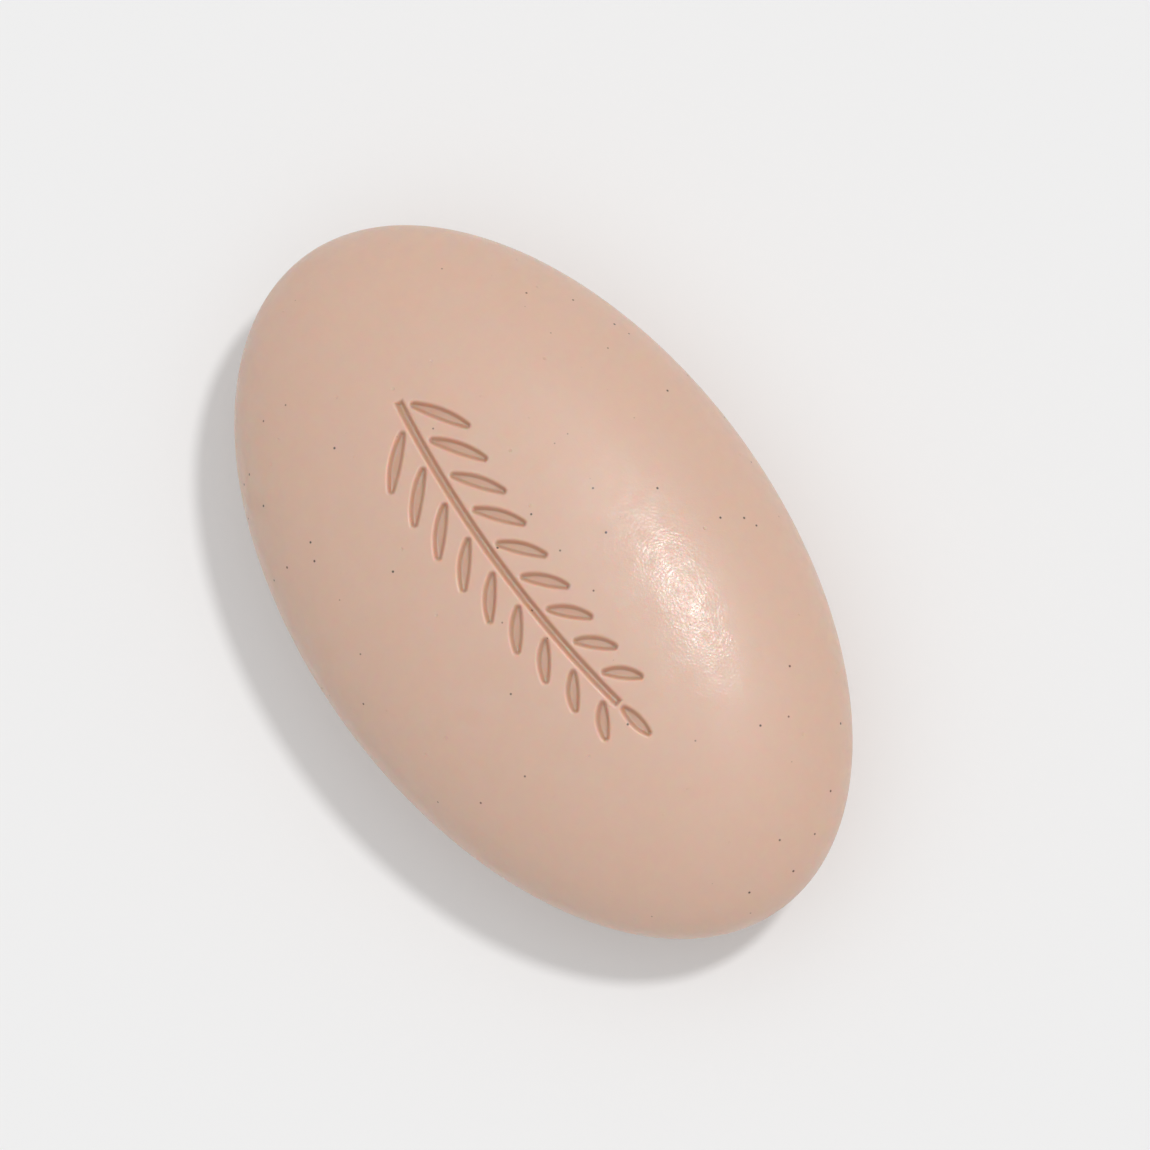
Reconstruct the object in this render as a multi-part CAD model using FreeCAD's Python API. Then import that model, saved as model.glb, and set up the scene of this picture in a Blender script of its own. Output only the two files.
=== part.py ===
import FreeCAD, Part
import math
import os

# A pressed oval bar of soap, in millimetres.
# The origin is the middle of the flat spot that the bar rests on.
# +X runs along the bar, +Y across it and +Z up through the stamped face.

# Body of the bar: two domes on a narrow upright land, where the halves of the press meet
LENGTH = 95.0
WIDTH = 57.0
DOME_HEIGHT = 15.2
LAND_HEIGHT = 0.8
REST_CUT = 0.3

# Fullness of the section: how far it climbs straight up from the land, and how far it runs level at the crown
SIDE_RISE = 7.9
CROWN_RUN = 18.4

# Sprig pressed into the upper dome: the middle of its stem, and the stem itself
SPRIG_X = -3.0
SPRIG_Y = -2.0
STEM_LENGTH = 44.0
STEM_BEND_RADIUS = 150.0
STEM_WIDTH = 1.0

# Leaves, in turn on either side of the stem, from the longest at its foot to the shortest at its end
LEAF_COUNT = 18
LONGEST_LEAF = 7.6
SHORTEST_LEAF = 4.6
LEAF_OUTER_BULGE = 0.5
LEAF_INNER_BULGE = 0.2
LEAF_TIP_RADIUS = 0.4
LEAF_ANGLE = 40.0
LEAF_CLEARANCE = 0.5

# The press: its depth below the dome, the draft of its walls, and how far its tools run past their work
PRESS_DEPTH = 0.8
PRESS_DRAFT = 13.0
TOOL_REACH = 0.25

PARTING_HEIGHT = DOME_HEIGHT - REST_CUT
UP = FreeCAD.Vector(0, 0, 1)


def point(x, y, z=0.0):
    return FreeCAD.Vector(x, y, z)


def dome_curve(side):
    """Half of the section from the land to the crown, one smooth curve. side is 1 above the land and -1 below."""
    land = LAND_HEIGHT / 2
    curve = Part.BezierCurve()
    curve.setPoles([
        point(WIDTH / 2, 0, side * land),
        point(WIDTH / 2, 0, side * (land + SIDE_RISE)),
        point(CROWN_RUN, 0, side * DOME_HEIGHT),
        point(0, 0, side * DOME_HEIGHT),
    ])
    return curve.toShape()


def pillow():
    """The bar before it is stamped: the section turned into a round pillow, then stretched to the bar's length."""
    land = LAND_HEIGHT / 2
    waist = Part.makeLine(point(WIDTH / 2, 0, -land), point(WIDTH / 2, 0, land))
    axis = Part.makeLine(point(0, 0, DOME_HEIGHT), point(0, 0, -DOME_HEIGHT))
    section = Part.Face(Part.Wire([dome_curve(-1), waist, dome_curve(1), axis]))
    round_pillow = section.revolve(point(0, 0), UP, 360)
    stretch = FreeCAD.Matrix()
    stretch.scale(LENGTH / WIDTH, 1, 1)
    bar = round_pillow.transformGeometry(stretch)
    bar.translate(point(0, 0, PARTING_HEIGHT))
    below = Part.makeBox(LENGTH, WIDTH, DOME_HEIGHT, point(-LENGTH / 2, -WIDTH / 2, -DOME_HEIGHT))
    return bar.cut(below)


def seat(bar, place):
    """The point of the upper dome over a place in plan, and the dome's outward normal there."""
    dome = max(bar.Faces, key=lambda face: face.CenterOfMass.z)
    line = Part.makeLine(place + UP * PARTING_HEIGHT, place + UP * (PARTING_HEIGHT + DOME_HEIGHT + TOOL_REACH))
    spot = dome.distToShape(line)[1][0][0]
    return spot, dome.normalAt(*dome.Surface.parameter(spot))


def stem_point(along, offset=0.0):
    """A point in plan beside the stem's middle line, measured along the bend from its middle, offset to the left."""
    turn = along / STEM_BEND_RADIUS
    radius = STEM_BEND_RADIUS - offset
    return point(SPRIG_X + radius * math.sin(turn), SPRIG_Y + STEM_BEND_RADIUS - radius * math.cos(turn))


def wall_slope():
    return math.tan(math.radians(PRESS_DRAFT))


def stem_tool(bar):
    """A drafted tool for the stem: its cross-section turned along the arc through three points of the dome."""
    foot, (middle, normal), end = [seat(bar, stem_point(share * STEM_LENGTH)) for share in (-0.5, 0, 0.5)]
    arc = Part.Arc(foot[0], middle, end[0]).toShape()
    circle = arc.Curve
    turn_to_middle = circle.parameter(middle) - arc.FirstParameter
    whole_turn = arc.LastParameter - arc.FirstParameter
    across = normal.cross(end[0] - foot[0]).normalize()
    head = STEM_WIDTH / 2 + TOOL_REACH * wall_slope()
    base = STEM_WIDTH / 2 - (PRESS_DEPTH + TOOL_REACH) * wall_slope()
    above = middle + normal * TOOL_REACH
    below = middle - normal * (PRESS_DEPTH + TOOL_REACH)
    corners = [above + across * head, above - across * head, below - across * base, below + across * base]
    section = Part.Face(Part.makePolygon(corners + corners[:1]))
    section.rotate(circle.Center, circle.Axis, -math.degrees(turn_to_middle))
    return section.revolve(circle.Center, circle.Axis, math.degrees(whole_turn))


def leaf_side(core, bulge, margin, side):
    """One long edge of a leaf, as an arc that runs margin outside a core arc with the given bulge."""
    radius = (core ** 2 / 4 + bulge ** 2) / (2 * bulge)
    centre = point(0, side * (bulge - radius))
    stretch = 1 + margin / radius
    first = centre + (point(-core / 2, 0) - centre) * stretch
    last = centre + (point(core / 2, 0) - centre) * stretch
    return first, point(0, side * (bulge + margin)), last


def leaf_outline(core, left_bulge, right_bulge, margin):
    """An almond with rounded tips, centred and along +X, margin outside a sharp almond of length core."""
    left = leaf_side(core, left_bulge, margin, 1)
    right = leaf_side(core, right_bulge, margin, -1)
    arcs = [
        left,
        (left[2], point(core / 2 + margin, 0), right[2]),
        right[::-1],
        (right[0], point(-core / 2 - margin, 0), left[0]),
    ]
    return Part.Wire([Part.Arc(*arc).toShape() for arc in arcs])


def leaf_tool(bar, length, left_bulge, right_bulge, foot, heading):
    """A drafted tool for one leaf, square to the dome under its middle. heading is its direction in plan."""
    core = length - 2 * LEAF_TIP_RADIUS
    below = leaf_outline(core, left_bulge, right_bulge, LEAF_TIP_RADIUS - (PRESS_DEPTH + TOOL_REACH) * wall_slope())
    below.translate(UP * -(PRESS_DEPTH + TOOL_REACH))
    above = leaf_outline(core, left_bulge, right_bulge, LEAF_TIP_RADIUS + TOOL_REACH * wall_slope())
    above.translate(UP * TOOL_REACH)
    tool = Part.makeLoft([below, above], True, True)
    middle = foot + point(math.cos(heading), math.sin(heading)) * (core / 2)
    spot, normal = seat(bar, middle)
    tool.Placement = FreeCAD.Placement(
        spot, FreeCAD.Rotation(UP, normal) * FreeCAD.Rotation(UP, math.degrees(heading))
    )
    return tool


def leaf_tools(bar):
    """The leaves beside the stem, leaning towards its end, and the one in line with it that closes the sprig."""
    stand_off = LEAF_CLEARANCE + LEAF_TIP_RADIUS
    tools = []
    for index in range(LEAF_COUNT):
        side = 1 if index % 2 == 0 else -1
        length = LONGEST_LEAF + (SHORTEST_LEAF - LONGEST_LEAF) * index / (LEAF_COUNT - 1)
        along = STEM_LENGTH * ((index + 0.5) / LEAF_COUNT - 0.5)
        foot = stem_point(along, side * (STEM_WIDTH / 2 + stand_off))
        heading = along / STEM_BEND_RADIUS + side * math.radians(LEAF_ANGLE)
        bulges = (LEAF_OUTER_BULGE, LEAF_INNER_BULGE)[::side]
        tools.append(leaf_tool(bar, length, *bulges, foot, heading))
    bulge = (LEAF_OUTER_BULGE + LEAF_INNER_BULGE) / 2
    end = STEM_LENGTH / 2
    foot = stem_point(end + stand_off)
    tools.append(leaf_tool(bar, SHORTEST_LEAF, bulge, bulge, foot, end / STEM_BEND_RADIUS))
    return tools


def soap_bar():
    """The pillow, less each tool down to a floor that copies the dome."""
    bar = pillow()
    floor = bar.translated(UP * -PRESS_DEPTH)
    recesses = [tool.cut(floor) for tool in [stem_tool(bar)] + leaf_tools(bar)]
    return bar.cut(recesses).Solids[0]


os.makedirs("parts", exist_ok=True)
soap_bar().exportStep("parts/soap_bar.step")
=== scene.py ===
# %% [markdown]
# # A pressed bar of soap
#
# The real thing is one piece of milled soap, squeezed between two dies. It is an oval with two smooth
# domes, a narrow upright land round its waist where the dies met, and a sprig pressed into its top.
# There is nothing else to it, so everything that makes it look real is in three places: the true curve
# of the domes, the soft lips of the recesses, and a surface that lets light in a little way before it
# comes out.
#
# The construction model is loaded first. It gives the size and the place of the bar. The mesh that is
# made here stands in for it, in the same frame. Lengths are written in millimetres, and turned into
# Blender's metres where they reach a mesh, the camera or a shader.

# %% Load the frame
import math

import bpy
import numpy as np
from mathutils import Matrix, Vector


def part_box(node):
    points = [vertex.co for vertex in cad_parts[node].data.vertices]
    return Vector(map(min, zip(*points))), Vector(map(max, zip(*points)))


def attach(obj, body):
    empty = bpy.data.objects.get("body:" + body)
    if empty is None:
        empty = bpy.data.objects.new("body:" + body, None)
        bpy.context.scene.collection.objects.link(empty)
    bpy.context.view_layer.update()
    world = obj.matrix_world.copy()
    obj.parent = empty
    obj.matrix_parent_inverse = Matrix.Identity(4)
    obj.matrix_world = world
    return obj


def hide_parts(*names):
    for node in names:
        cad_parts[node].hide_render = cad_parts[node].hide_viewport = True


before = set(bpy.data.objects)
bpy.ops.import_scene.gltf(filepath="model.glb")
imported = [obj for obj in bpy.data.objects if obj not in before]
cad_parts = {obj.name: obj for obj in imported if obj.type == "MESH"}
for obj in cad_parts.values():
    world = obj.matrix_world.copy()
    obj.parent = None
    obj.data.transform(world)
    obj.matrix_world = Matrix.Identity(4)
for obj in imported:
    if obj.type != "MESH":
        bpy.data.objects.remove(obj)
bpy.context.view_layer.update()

MM = 0.001

high_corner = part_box("soap_bar")[1]
HALF_LENGTH = high_corner.x / MM
HALF_WIDTH = high_corner.y / MM
TOP = high_corner.z / MM
print(f"bar: {2 * HALF_LENGTH:.1f} x {2 * HALF_WIDTH:.1f} x {TOP:.1f} mm")

# %% [markdown]
# ## Aim the camera
#
# The photograph looks down on the bar, from a little beyond its end, through a long lens. Working from
# the photograph's own frame keeps the bar as large and as far off centre as it is there. The camera is
# given as a direction to look from, the picture's upward direction, and how many pixels a millimetre
# takes at the bar's waist. The lens then follows from the distance.

# %% Camera
PHOTO_PIXELS = 1150
PIXELS_PER_MM = 8.59
CAMERA_DISTANCE = 1800.0
SENSOR_WIDTH = 36.0
WAIST_HEIGHT = TOP / 2
SOAP_PIXEL = (542.6, 581.0)
LOOK_FROM = Vector((0.155, 0.06, 1.0)).normalized()
PICTURE_UP = Vector((-0.80749, 0.58988, 0.0))


def camera_axes():
    """The picture's right and up directions and the direction back to the camera, each at right angles."""
    up = (PICTURE_UP - LOOK_FROM * PICTURE_UP.dot(LOOK_FROM)).normalized()
    return up.cross(LOOK_FROM), up, LOOK_FROM


def add_camera():
    right, up, back = camera_axes()
    across = (PHOTO_PIXELS / 2 - SOAP_PIXEL[0]) / PIXELS_PER_MM
    upward = (SOAP_PIXEL[1] - PHOTO_PIXELS / 2) / PIXELS_PER_MM
    aim = Vector((0, 0, WAIST_HEIGHT)) + right * across + up * upward
    data = bpy.data.cameras.new("photo_camera")
    data.sensor_width = SENSOR_WIDTH
    data.lens = SENSOR_WIDTH * PIXELS_PER_MM * CAMERA_DISTANCE / PHOTO_PIXELS
    camera = bpy.data.objects.new("photo_camera", data)
    bpy.context.collection.objects.link(camera)
    turn = Matrix((right, up, back)).transposed().to_4x4()
    camera.matrix_world = Matrix.Translation((aim + back * CAMERA_DISTANCE) * MM) @ turn
    bpy.context.scene.camera = camera
    print(f"lens {data.lens:.0f} mm at {CAMERA_DISTANCE:.0f} mm")


add_camera()

# %% [markdown]
# ## The pillow form
#
# A press turns a soft blank into a pillow whose outline is an ellipse. Its height over any point depends
# only on how far out that point lies, as a share of the way to the rim. One smooth curve, a cubic
# Bezier, goes from the narrow upright land at the waist to the crown. It leaves the land straight up
# and reaches the crown level, so the dome has no crease anywhere. A shallow cut under the bar leaves
# the flat spot that it rests on.

# %% The dome's section
REST_CUT = 0.3
LAND_HEIGHT = 0.8
SIDE_RISE = 7.9
CROWN_RUN = 18.4
TABLE_POINTS = 20001

DOME_HEIGHT = (TOP + REST_CUT) / 2
PARTING = DOME_HEIGHT - REST_CUT


def section(t):
    """Share of the way out and height over the parting plane, along a Bezier from land to crown.

    Each is the sum of four control values, weighted by the Bernstein terms b0 to b3 of t, from 0 to 1.
    """
    b0, b1, b2, b3 = (1 - t) ** 3, 3 * t * (1 - t) ** 2, 3 * t ** 2 * (1 - t), t ** 3
    land = LAND_HEIGHT / 2
    out = b0 + b1 + b2 * CROWN_RUN / HALF_WIDTH
    return out, b0 * land + b1 * (land + SIDE_RISE) + (b2 + b3) * DOME_HEIGHT


CURVE_T = np.linspace(0, 1, TABLE_POINTS)
CURVE_OUT, CURVE_UP = section(CURVE_T)


def section_t(share):
    """The curve's parameter where it is that share of the way out, read from a fine table of the curve."""
    return np.interp(share, CURVE_OUT[::-1], CURVE_T[::-1])


print(f"domes rise {DOME_HEIGHT:.2f} mm from a parting plane {PARTING:.2f} mm up")

# %% [markdown]
# ## The sprig's stem
#
# The die carries a raised sprig, and leaves it as a recess of one depth with sloping walls. Cutting such
# a recess with boolean tools would leave sharp lips and an uneven mesh. It is easier to describe it by a
# distance: how far a point lies outside the outline of the stem or of the nearest leaf. The stem comes
# first. It is a strip with square ends, bent along an arc.

# %% The stem
SPRIG_X = -3.0
SPRIG_Y = -2.0
STEM_LENGTH = 44.0
STEM_BEND_RADIUS = 150.0
STEM_WIDTH = 1.0


def stem_point(along, offset=0.0):
    """A point beside the stem's bent middle line: an arc of the bend radius, offset to its left."""
    turn = along / STEM_BEND_RADIUS
    radius = STEM_BEND_RADIUS - offset
    return radius * math.sin(turn), STEM_BEND_RADIUS - radius * math.cos(turn)


def stem_distance(x, y):
    """Distance outside a bent strip with square ends: how far a point is past its sides and its ends."""
    radius = np.hypot(x, STEM_BEND_RADIUS - y)
    along = np.arctan2(x, STEM_BEND_RADIUS - y) * STEM_BEND_RADIUS
    past_side = np.abs(radius - STEM_BEND_RADIUS) - STEM_WIDTH / 2
    past_end = np.abs(along) - STEM_LENGTH / 2
    outside = np.hypot(np.maximum(past_side, 0), np.maximum(past_end, 0))
    return outside + np.minimum(np.maximum(past_side, past_end), 0)


print(f"the stem's ends lie {stem_point(STEM_LENGTH / 2)[1]:.2f} mm to the side of its middle")

# %% [markdown]
# ## The leaves
#
# A leaf is an almond with rounded tips. Two discs that overlap make a sharp almond, and growing that
# overlap by the tip's radius rounds its tips. The outer side of a leaf bulges more than its inner side.
# The leaves stand in turn on either side of the stem, shorter towards its end, and the last one closes
# the sprig in line with it.

# %% The leaves
LEAF_COUNT = 18
LONGEST_LEAF = 7.6
SHORTEST_LEAF = 4.6
LEAF_OUTER_BULGE = 0.5
LEAF_INNER_BULGE = 0.2
LEAF_TIP_RADIUS = 0.4
LEAF_ANGLE = math.radians(40)
LEAF_CLEARANCE = 0.5


def leaf_distance(x, y, core, left_bulge, right_bulge):
    """Distance outside a leaf along +X: outside both discs of a sharp almond, less the tip's radius.

    Beyond the almond's points, where neither arc faces the place, it is the distance to the nearer point.
    """
    outside = []
    beside = []
    for side, bulge in ((1, left_bulge), (-1, right_bulge)):
        radius = (core ** 2 / 4 + bulge ** 2) / (2 * bulge)
        dx = x - core / 2
        dy = y - side * (bulge - radius)
        reach = np.hypot(dx, dy)
        outside.append(reach - radius)
        beside.append(np.abs(dx) * radius / reach <= core / 2)
    left_is_nearer = outside[0] > outside[1]
    distance = np.where(left_is_nearer, outside[0], outside[1])
    faces_arc = np.where(left_is_nearer, beside[0], beside[1])
    to_tip = np.minimum(np.hypot(x, y), np.hypot(x - core, y))
    return np.where((distance > 0) & ~faces_arc, to_tip, distance) - LEAF_TIP_RADIUS


def leaves():
    """Each leaf's foot, heading, core length and two bulges: side leaves in turn, then the one at the end."""
    stand_off = LEAF_CLEARANCE + LEAF_TIP_RADIUS
    for index in range(LEAF_COUNT):
        side = 1 if index % 2 == 0 else -1
        along = STEM_LENGTH * ((index + 0.5) / LEAF_COUNT - 0.5)
        foot = stem_point(along, side * (STEM_WIDTH / 2 + stand_off))
        heading = along / STEM_BEND_RADIUS + side * LEAF_ANGLE
        length = LONGEST_LEAF + (SHORTEST_LEAF - LONGEST_LEAF) * index / (LEAF_COUNT - 1)
        bulges = (LEAF_OUTER_BULGE, LEAF_INNER_BULGE)[::side]
        yield foot, heading, length - 2 * LEAF_TIP_RADIUS, bulges
    end = STEM_LENGTH / 2
    core = SHORTEST_LEAF - 2 * LEAF_TIP_RADIUS
    bulge = (LEAF_OUTER_BULGE + LEAF_INNER_BULGE) / 2
    yield stem_point(end + stand_off), end / STEM_BEND_RADIUS, core, (bulge, bulge)


print(f"{len(list(leaves()))} leaves, from {LONGEST_LEAF} down to {SHORTEST_LEAF} mm long")

# %% [markdown]
# ## The depth of the pressing
#
# A die never leaves a sharp lip in soap. So the depth is a smooth step of the distance, which rounds the
# lip and the foot of each wall at once. The step starts a little outside the outline and eases in, so
# the lip is softer than the foot.

# %% Depth of the pressing
PRESS_DEPTH = 0.8
WALL_RUN = 0.42
LIP_RUN = 0.33
LIP_EASE = 1.5


def sprig_distance(x, y):
    """Distance outside the sprig: the least of the stem's and every leaf's, each in its own turned frame."""
    x = x - SPRIG_X
    y = y - SPRIG_Y
    nearest = stem_distance(x, y)
    for (foot_x, foot_y), heading, core, bulges in leaves():
        cos = math.cos(heading)
        sin = math.sin(heading)
        dx = x - foot_x
        dy = y - foot_y
        outside_leaf = leaf_distance(cos * dx + sin * dy, cos * dy - sin * dx, core, *bulges)
        nearest = np.minimum(nearest, outside_leaf)
    return nearest


def pressed_share(distance):
    """Share of the press depth: the step 3s^2 - 2s^3, where s eases in from the lip, and is 1 at the foot."""
    step = np.clip((LIP_RUN - distance) / (LIP_RUN + WALL_RUN), 0, 1) ** LIP_EASE
    return step ** 2 * (3 - 2 * step)


print(f"a wall is {PRESS_DEPTH * pressed_share(0.0):.2f} mm deep at the outline and {PRESS_DEPTH} mm at its foot")

# %% [markdown]
# ## A fine sheet under the sprig
#
# The recesses need points about a tenth of a millimetre apart, and the rest of the bar doesn't. One
# even mesh that fine would be far too heavy. So the mesh is a fine rectangular sheet under the sprig,
# and a coarse skirt that starts at the sheet's edge. The sheet is worked out first.

# %% The fine sheet
FINE_PITCH = 0.108
SHEET_X = (-26.0, 25.0)
SHEET_Y = (-8.2, 6.2)


def fine_sheet():
    """A rectangular grid of points on the dome, and the share of the press depth at each.

    A point's height is that of the dome over it, less the press depth times that share.
    """
    columns = round((SHEET_X[1] - SHEET_X[0]) / FINE_PITCH)
    rows = round((SHEET_Y[1] - SHEET_Y[0]) / FINE_PITCH)
    x, y = np.meshgrid(np.linspace(*SHEET_X, columns), np.linspace(*SHEET_Y, rows), indexing="ij")
    _, height = section(section_t(np.hypot(x / HALF_LENGTH, y / HALF_WIDTH)))
    pressed = pressed_share(sprig_distance(x, y))
    return np.stack([x, y, PARTING + height - PRESS_DEPTH * pressed], axis=-1), pressed


sheet, pressed = fine_sheet()
print(f"the sheet has {sheet.shape[0]} x {sheet.shape[1]} points")

# %% [markdown]
# ## A skirt round it
#
# Each column of the skirt hangs from one point of the sheet's edge. It runs straight out to the rim,
# down the land, and back under the bar to the flat spot. Its rows follow the same section as the sheet,
# so the two meet with no step or crease.

# %% The skirt
UPPER_ROWS = 16
LOWER_ROWS = 12


def edge_loop(columns, rows):
    """Indices round the sheet's edge, anticlockwise seen from above, as a closed loop."""
    index = np.arange(columns * rows).reshape(columns, rows)
    return np.concatenate([index[:-1, 0], index[-1, :-1], index[:0:-1, -1], index[0, :0:-1]])


def skirt(edge):
    """Rows of points: the edge's own directions times the section's reach, down the dome and in below.

    The upper rows go from the edge to the land. The lower rows mirror the section, down to the rest cut.
    """
    share = np.hypot(edge[:, 0] / HALF_LENGTH, edge[:, 1] / HALF_WIDTH)
    toward = edge[:, :2] / share[:, None]
    start = section_t(share)
    rest = np.interp(PARTING, CURVE_UP, CURVE_T)
    upper = [section(start * left) for left in np.linspace(1, 0, UPPER_ROWS + 1)[1:]]
    lower = [section(np.full_like(share, t)) for t in np.linspace(0, rest, LOWER_ROWS + 1)]
    rows = upper + [(out, -up) for out, up in lower]
    return np.stack([np.column_stack([toward * out[:, None], PARTING + up]) for out, up in rows])


loop = edge_loop(*pressed.shape)
hanging = skirt(sheet.reshape(-1, 3)[loop])
print(f"the skirt has {hanging.shape[0]} rows of {hanging.shape[1]} points")

# %% [markdown]
# ## From arrays to a mesh
#
# Blender takes a mesh as flat lists: where each point is, which points each face joins, and where each
# face starts in that list. Filling them from whole arrays takes a moment, where adding faces one by one
# would take minutes.

# %% Mesh helpers


def grid_faces(index):
    """Quads of a grid of vertex indices: each joins a point to its neighbours in the next row and column."""
    corners = [index[:-1, :-1], index[1:, :-1], index[1:, 1:], index[:-1, 1:]]
    return np.stack(corners, axis=-1).reshape(-1, 4)


def mesh_from(name, points, quads, triangles):
    """A smooth mesh from arrays of points in millimetres, quads and triangles."""
    mesh = bpy.data.meshes.new(name)
    loops = np.concatenate([quads.ravel(), triangles.ravel()])
    sizes = np.concatenate([np.full(len(quads), 4), np.full(len(triangles), 3)])
    mesh.vertices.add(len(points))
    mesh.vertices.foreach_set("co", (points * MM).ravel())
    mesh.loops.add(len(loops))
    mesh.loops.foreach_set("vertex_index", loops)
    mesh.polygons.add(len(sizes))
    mesh.polygons.foreach_set("loop_start", np.concatenate([[0], np.cumsum(sizes)[:-1]]))
    mesh.polygons.foreach_set("use_smooth", np.ones(len(sizes), dtype=bool))
    mesh.update(calc_edges=True)
    mesh.validate()
    return mesh


print(f"a grid of 3 x 3 points has {len(grid_faces(np.arange(9).reshape(3, 3)))} faces")

# %% [markdown]
# ## The bar
#
# The sheet, the skirt and a fan that closes the flat spot become one closed mesh. Its points also carry
# a number that the finish will read: how much painted shade each has, a darker and warmer colour that
# stands in for the shade in the recesses. It is half on their floors, and a little more low on their
# walls, where the least light comes out.

# %% The bar
# Shares of painted shade: a darker colour stands in for the shade on the recesses' floors and walls.
PAINTED_SHADE_ON_FLOOR = 0.5
PAINTED_SHADE_ON_WALL = 0.25


def bar_faces():
    """Quads of the sheet and of the closed skirt that continues its edge, and the triangles of the fan."""
    sheet_index = np.arange(pressed.size).reshape(pressed.shape)
    ring = np.arange(hanging.shape[0] * hanging.shape[1]).reshape(hanging.shape[:2]) + pressed.size
    ring = np.concatenate([loop[None], ring])
    closed = np.concatenate([ring, ring[:, :1]], axis=1)
    quads = np.concatenate([grid_faces(sheet_index), grid_faces(closed)])
    last = closed[-1]
    middle = np.full(len(loop), closed.max() + 1)
    return quads, np.stack([last[:-1], middle, last[1:]], axis=-1)


def bar_mesh():
    """The sheet's points, the skirt's points, and one in the middle of the flat spot.

    The deep value is painted shade: a share of the pressing, plus a part that is most halfway down the walls.
    """
    below = hanging[-1].mean(axis=0)
    points = np.concatenate([sheet.reshape(-1, 3), hanging.reshape(-1, 3), below[None]])
    mesh = mesh_from("pressed_bar", points, *bar_faces())
    deep = np.zeros(len(points))
    deep[:pressed.size] = (PAINTED_SHADE_ON_FLOOR * pressed + PAINTED_SHADE_ON_WALL * 4 * pressed * (1 - pressed)).ravel()
    # The deep attribute holds the share of painted shade, which the finish turns into a darker colour.
    mesh.attributes.new("deep", "FLOAT", "POINT").data.foreach_set("value", deep)
    return mesh


bar = bpy.data.objects.new("pressed_bar", bar_mesh())
bpy.context.collection.objects.link(bar)
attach(bar, "root")
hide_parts("soap_bar")
triangle_count = sum(len(face.vertices) - 2 for face in bar.data.polygons)
print(f"pressed_bar: {len(bar.data.vertices)} points, {triangle_count} triangles")

# %% [markdown]
# ## Material helpers
#
# Colours are written as sRGB hex, the way a paint chip or a picture gives them, and one function turns
# them linear for the shader. One small function adds a node, sets it and links it.

# %% Colour and node helpers


def linear(hex_colour, alpha=1.0):
    """sRGB hex to a linear colour."""
    parts = [int(hex_colour[i:i + 2], 16) / 255 for i in (1, 3, 5)]
    return [c / 12.92 if c <= 0.04045 else ((c + 0.055) / 1.055) ** 2.4 for c in parts] + [alpha]


def add_node(tree, kind, links=(), **settings):
    """Adds a node. Settings name its properties or inputs, links are (input name or number, output)."""
    node = tree.nodes.new(kind)
    for name, value in settings.items():
        if hasattr(node, name):
            setattr(node, name, value)
        else:
            node.inputs[name.replace("_", " ")].default_value = value
    for socket, source in links:
        tree.links.new(source, node.inputs[socket])
    return node


def new_material(name):
    material = bpy.data.materials.new(name)
    material.use_nodes = True
    material.node_tree.nodes.clear()
    return material, material.node_tree


print(f"the sRGB grey #808080 is {linear('#808080')[0]:.3f} linear")

# %% [markdown]
# ## Colour of milled toilet soap
#
# Milled soap is a waxy solid, made by rolling coloured flakes into ribbons and pressing them. The body is
# a dusty pink beige. The rolling leaves clouds in it that are only just seen, and a few dark specks of
# pigment. In the recesses a darker, warmer colour is painted in as their shade, read from the mesh's
# own attribute.

# %% Colour of the soap
SOAP = "#D5B4A0"
SOAP_WARM = "#D5B19B"
# A darker, warmer colour painted into the recesses as their shade.
SOAP_PAINTED_SHADE = "#C08A6C"
SPECK = "#4E3527"
CLOUD_MM = 3.0
SPECK_SPACING_MM = 3.0
SPECK_RADIUS_MM = 0.19
CLOUD_DETAIL = 4.0


def scattered_dots(tree, place, spacing_mm, radius_mm):
    """1 in the middle of each dot, 0 from its edge on. A dot is a ball cut by the surface, so sizes vary."""
    cells = add_node(tree, "ShaderNodeTexVoronoi", [("Vector", place)], Scale=1 / (spacing_mm * MM))
    edge = radius_mm / spacing_mm
    ramp = add_node(
        tree, "ShaderNodeMapRange", [("Value", cells.outputs["Distance"])],
        From_Min=edge / 2, From_Max=edge, To_Min=1.0, To_Max=0.0,
    )
    return ramp.outputs["Result"]


def soap_colour(tree, place):
    """The body's faint clouds, painted shade in the recesses over them, and dark specks over both."""
    cloud = add_node(tree, "ShaderNodeTexNoise", [("Vector", place)], Scale=1 / (CLOUD_MM * MM), Detail=CLOUD_DETAIL)
    clouds = add_node(
        tree, "ShaderNodeMix", [("Factor", cloud.outputs["Fac"])],
        data_type="RGBA", A=linear(SOAP), B=linear(SOAP_WARM),
    )
    # Painted shade: the mesh's deep attribute darkens the recesses towards this colour.
    deep = add_node(tree, "ShaderNodeAttribute", attribute_name="deep")
    body = add_node(
        tree, "ShaderNodeMix", [("Factor", deep.outputs["Fac"]), ("A", clouds.outputs["Result"])],
        data_type="RGBA", B=linear(SOAP_PAINTED_SHADE),
    )
    specks = scattered_dots(tree, place, SPECK_SPACING_MM, SPECK_RADIUS_MM)
    specked = add_node(
        tree, "ShaderNodeMix", [("Factor", specks), ("A", body.outputs["Result"])],
        data_type="RGBA", B=linear(SPECK),
    )
    return specked.outputs["Result"]


print(f"specks up to {2 * SPECK_RADIUS_MM:.2f} mm across, in cells of {SPECK_SPACING_MM:.0f} mm")

# %% [markdown]
# ## Relief of the soap
#
# The real surface is never quite even. It has long shallow waves from the press, small pits, and a very
# fine grain left by the die, which breaks up the highlight into glitter. All three are bump, because
# they are far too fine for the mesh. The real grain is finer than a pixel, so it is drawn as coarse as it
# needs to be to show. The thin glaze follows the grain fully, and the body below it only a little.

# %% Relief
WAVE_MM = 9.0
WAVE_HEIGHT_MM = 0.04
PIT_SPACING_MM = 3.8
PIT_RADIUS_MM = 0.22
PIT_DEPTH_MM = 0.05
PATTERN_SHIFT = (0.5, 0.5, 0.5)
GRAIN_MM = 0.31
GRAIN_HEIGHT_MM = 0.036
GRAIN_SHARE_BELOW = 0.12


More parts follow.
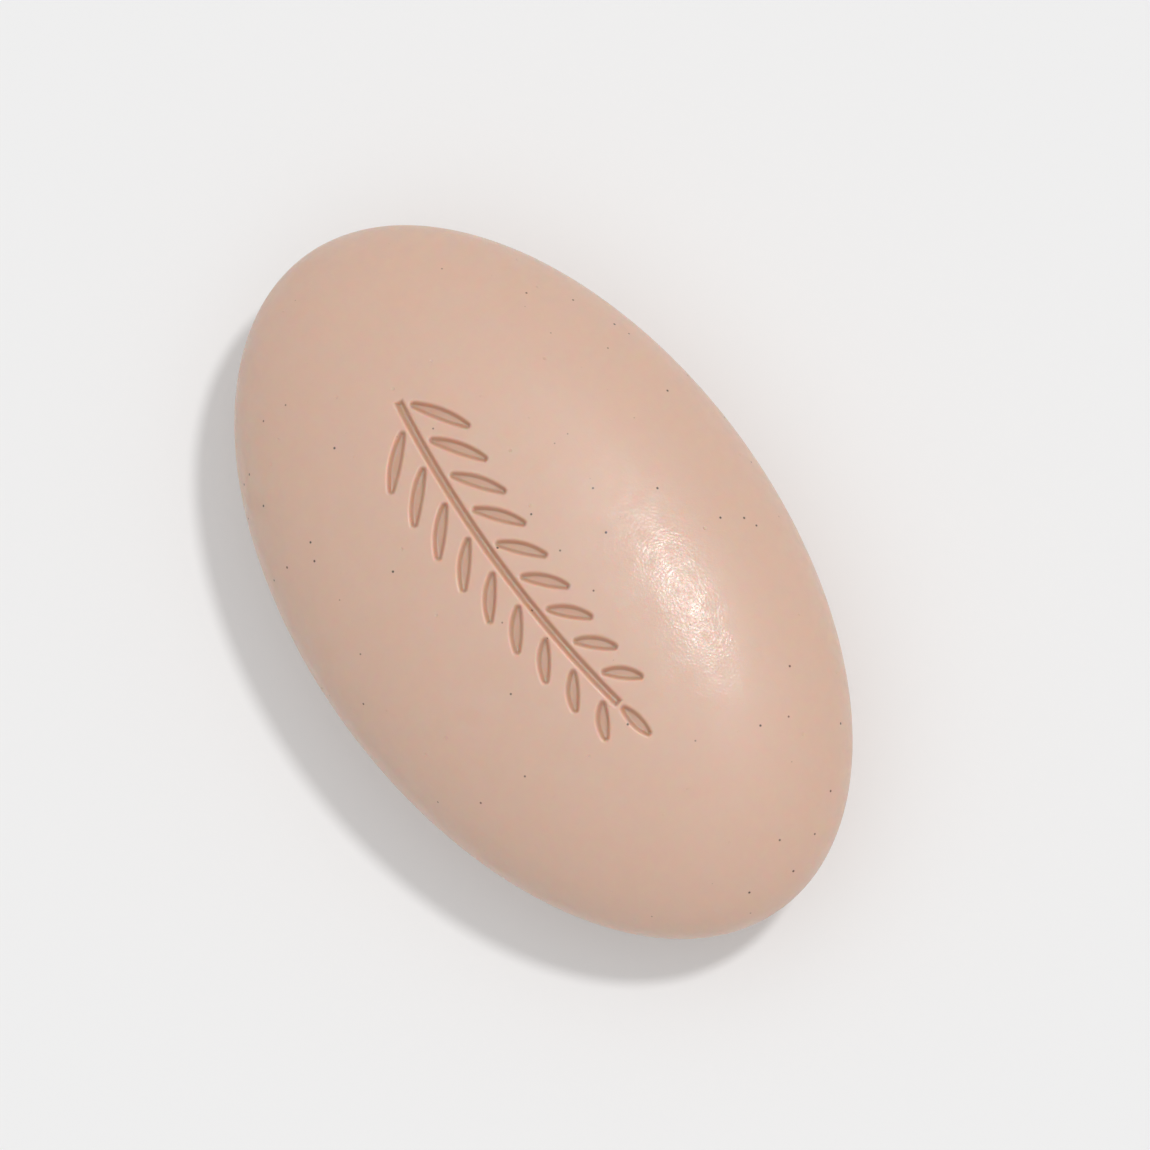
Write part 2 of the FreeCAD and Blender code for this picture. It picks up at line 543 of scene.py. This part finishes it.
def pressed_relief(tree, shifted):
    """The normal of a surface with waves, and pits in them.

    shifted is a place half a metre off, so that neither follows the clouds and specks of the colour.
    """
    wave = add_node(tree, "ShaderNodeTexNoise", [("Vector", shifted)], Scale=1 / (WAVE_MM * MM), Detail=2.0)
    waves = add_node(
        tree, "ShaderNodeBump", [("Height", wave.outputs["Fac"])], Distance=WAVE_HEIGHT_MM * MM, Strength=1.0,
    )
    pits = scattered_dots(tree, shifted, PIT_SPACING_MM, PIT_RADIUS_MM)
    pitted = add_node(
        tree, "ShaderNodeBump", [("Height", pits), ("Normal", waves.outputs["Normal"])],
        Distance=-PIT_DEPTH_MM * MM, Strength=1.0,
    )
    return pitted.outputs["Normal"]


def grained_pair(tree, place, smooth):
    """Two normals with the grain on them: the body's, which has a share of its height, and the glaze's."""
    grain = add_node(tree, "ShaderNodeTexNoise", [("Vector", place)], Scale=1 / (GRAIN_MM * MM), Detail=1.0)
    normals = []
    for height_mm in (GRAIN_HEIGHT_MM * GRAIN_SHARE_BELOW, GRAIN_HEIGHT_MM):
        grained = add_node(
            tree, "ShaderNodeBump", [("Height", grain.outputs["Fac"]), ("Normal", smooth)],
            Distance=height_mm * MM, Strength=1.0,
        )
        normals.append(grained.outputs["Normal"])
    return normals


print(f"grain {GRAIN_MM} mm wide and {GRAIN_HEIGHT_MM} mm high")

# %% [markdown]
# ## The soap's finish
#
# Light enters milled soap, scatters a millimetre or so, and comes out warmer, which softens every edge
# and tints the recesses. The skin is satin, with a glaze from handling and drying that is thin and
# patchy: it is why the highlight is bright in the middle and ragged at its edge. One Principled shader
# has all of it, with the glaze as its coat.

# %% Finish
SOAP_IOR = 1.5
SATIN = 0.5
SATIN_LEVEL = 0.75
GLAZE = (0.1, 0.5)
GLAZE_NOISE = (0.35, 0.65)
GLAZE_ROUGHNESS = 0.21
GLAZE_PATCH_MM = 2.0
SCATTER_MM = 1.3
SCATTER_RGB = (1.0, 0.25, 0.12)


def glaze_weight(tree, place):
    """How much glaze there is: clouds of noise, stretched from thin to thick."""
    scale = 1 / (GLAZE_PATCH_MM * MM)
    patches = add_node(tree, "ShaderNodeTexNoise", [("Vector", place)], Scale=scale, Detail=CLOUD_DETAIL)
    weight = add_node(
        tree, "ShaderNodeMapRange", [("Value", patches.outputs["Fac"])],
        From_Min=GLAZE_NOISE[0], From_Max=GLAZE_NOISE[1], To_Min=GLAZE[0], To_Max=GLAZE[1],
    )
    return weight.outputs["Result"]


def soap_material():
    """Milled toilet soap, pressed: satin and waxy, with a patchy thin glaze that glitters."""
    material, tree = new_material("milled_toilet_soap")
    place = add_node(tree, "ShaderNodeTexCoord").outputs["Object"]
    shifted = add_node(tree, "ShaderNodeMapping", [("Vector", place)], Location=PATTERN_SHIFT)
    smooth = pressed_relief(tree, shifted.outputs["Vector"])
    satin_normal, glaze_normal = grained_pair(tree, place, smooth)
    links = [
        ("Base Color", soap_colour(tree, place)),
        ("Normal", satin_normal),
        ("Coat Normal", glaze_normal),
        ("Coat Weight", glaze_weight(tree, place)),
    ]
    shader = add_node(
        tree, "ShaderNodeBsdfPrincipled", links,
        Roughness=SATIN, IOR=SOAP_IOR, Specular_IOR_Level=SATIN_LEVEL,
        Coat_Roughness=GLAZE_ROUGHNESS, Coat_IOR=SOAP_IOR,
        Subsurface_Weight=1.0, Subsurface_Radius=SCATTER_RGB, Subsurface_Scale=SCATTER_MM * MM,
    )
    add_node(tree, "ShaderNodeOutputMaterial", [("Surface", shader.outputs["BSDF"])])
    return material


bar.data.materials.append(soap_material())
print(f"{bar.data.materials[0].name}: {len(bar.data.materials[0].node_tree.nodes)} nodes")

# %% [markdown]
# ## The floor
#
# The bar lies on a plain pale sheet, and the photograph's background is the same pale grey right up to
# the bar. A real sheet loses some light beside the bar, so the floor is given a small share of glow to
# the camera, and to reflections, to lift it back. The rays that carry light to the bar see a plain
# diffuse sheet, and the shadow still shows on it.

# %% Floor
FLOOR = "#EFEFEF"
FLOOR_HALF = 3000.0
FLOOR_GLOW = 0.15


def seen_directly(tree):
    """1 for rays from the camera, a reflection or a see-through surface, 0 for the rays that carry light."""
    path = add_node(tree, "ShaderNodeLightPath")
    seen = path.outputs["Is Camera Ray"]
    for kind in ("Is Glossy Ray", "Is Transmission Ray"):
        either = add_node(tree, "ShaderNodeMath", [(0, seen), (1, path.outputs[kind])], operation="MAXIMUM")
        seen = either.outputs[0]
    return seen


def add_floor():
    corners = np.array([[-1, -1, 0], [1, -1, 0], [1, 1, 0], [-1, 1, 0]]) * FLOOR_HALF
    mesh = mesh_from("floor", corners, np.array([[0, 1, 2, 3]]), np.zeros((0, 3), dtype=int))
    floor = bpy.data.objects.new("floor", mesh)
    bpy.context.collection.objects.link(floor)
    material, tree = new_material("pale_sheet")
    matt = add_node(tree, "ShaderNodeBsdfDiffuse", Color=linear(FLOOR))
    glow = add_node(tree, "ShaderNodeEmission", Color=linear(FLOOR))
    share = add_node(tree, "ShaderNodeMath", [(0, seen_directly(tree))], operation="MULTIPLY")
    share.inputs[1].default_value = FLOOR_GLOW
    links = [("Fac", share.outputs[0]), (1, matt.outputs[0]), (2, glow.outputs[0])]
    mix = add_node(tree, "ShaderNodeMixShader", links)
    add_node(tree, "ShaderNodeOutputMaterial", [("Surface", mix.outputs[0])])
    mesh.materials.append(material)


add_floor()
print(f"floor {2 * FLOOR_HALF * MM:.0f} m square, colour {FLOOR}")

# %% [markdown]
# ## The light
#
# The photograph has one high key light, which gives the crisp shadow and the bright spot. A very wide
# soft light overhead lays the pale sheen on the dome, and an even fill comes from all round. Their
# shares of the light on level ground add up to one, so a colour renders about as it is written.

# %% Lights
KEY_FROM = Vector((0.045, 0.505, 1.0)).normalized()
KEY_SHARE = 0.355
KEY_ANGLE = math.radians(5.5)
OVERHEAD_FROM = Vector((0.0, 0.0, 1.0))
OVERHEAD_SHARE = 0.14
OVERHEAD_ANGLE = math.radians(80)
FILL_SHARE = 1 - KEY_SHARE - OVERHEAD_SHARE


def add_lamp(name, toward, share, angle):
    """A distant round lamp of the given angular size, which gives level ground a share of its light."""
    data = bpy.data.lights.new(name, "SUN")
    data.energy = share * math.pi / toward.z
    data.angle = angle
    lamp = bpy.data.objects.new(name, data)
    bpy.context.collection.objects.link(lamp)
    lamp.matrix_world = toward.to_track_quat("Z", "Y").to_matrix().to_4x4()


def add_fill():
    """An even pale surround. The camera and reflections see it as bright as the floor."""
    world = bpy.data.worlds.new("surround")
    world.use_nodes = True
    tree = world.node_tree
    tree.nodes.clear()
    fill = add_node(tree, "ShaderNodeBackground", Color=linear("#FFFFFF"), Strength=FILL_SHARE)
    backdrop = add_node(tree, "ShaderNodeBackground", Color=linear(FLOOR), Strength=1.0)
    links = [("Fac", seen_directly(tree)), (1, fill.outputs[0]), (2, backdrop.outputs[0])]
    mix = add_node(tree, "ShaderNodeMixShader", links)
    add_node(tree, "ShaderNodeOutputWorld", [("Surface", mix.outputs[0])])
    bpy.context.scene.world = world


add_lamp("key", KEY_FROM, KEY_SHARE, KEY_ANGLE)
add_lamp("overhead", OVERHEAD_FROM, OVERHEAD_SHARE, OVERHEAD_ANGLE)
add_fill()
bpy.context.scene.view_settings.view_transform = "Standard"
print(f"light: key {KEY_SHARE:.3f}, overhead {OVERHEAD_SHARE:.3f}, fill {FILL_SHARE:.3f}")
